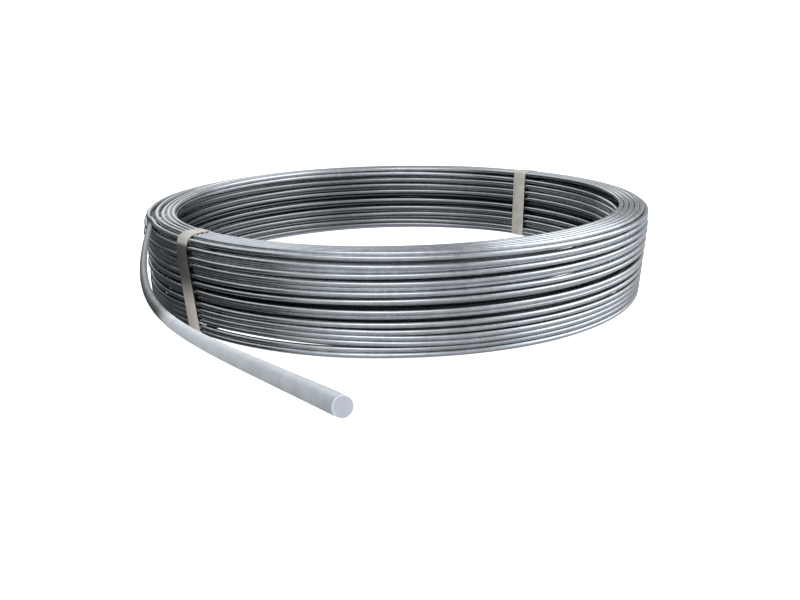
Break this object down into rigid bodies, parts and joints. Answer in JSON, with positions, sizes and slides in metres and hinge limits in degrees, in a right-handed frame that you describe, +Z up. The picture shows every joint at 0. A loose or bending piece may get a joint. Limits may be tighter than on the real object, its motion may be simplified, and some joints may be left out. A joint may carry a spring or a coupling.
{
  "type": "coil of galvanized round conductor",
  "caption": "Flat coil of galvanized round steel conductor wire, tied with two flat straps, with one free end lifted off the coil.",
  "frame": {"origin": "bottom centre of the whole part's box, the free end included; the coil's own axis is 0.449 m along +Y from it", "axes": "+Z up, along the coil's axis, away from the floor that it lies on; the free end runs from the coil's -X side towards -Y"},
  "size_m": [0.874, 1.7712, 0.3202],
  "materials": {
    "galvanized_wire": "hot-dip galvanized, faint spangle, semi-bright",
    "strapping": "warm grey flat strapping, satin"
  },
  "bodies": {
    "root": {"conductor": "galvanized_wire", "strap_front_left": "strapping", "strap_back_right": "strapping"}
  },
  "joints": []
}
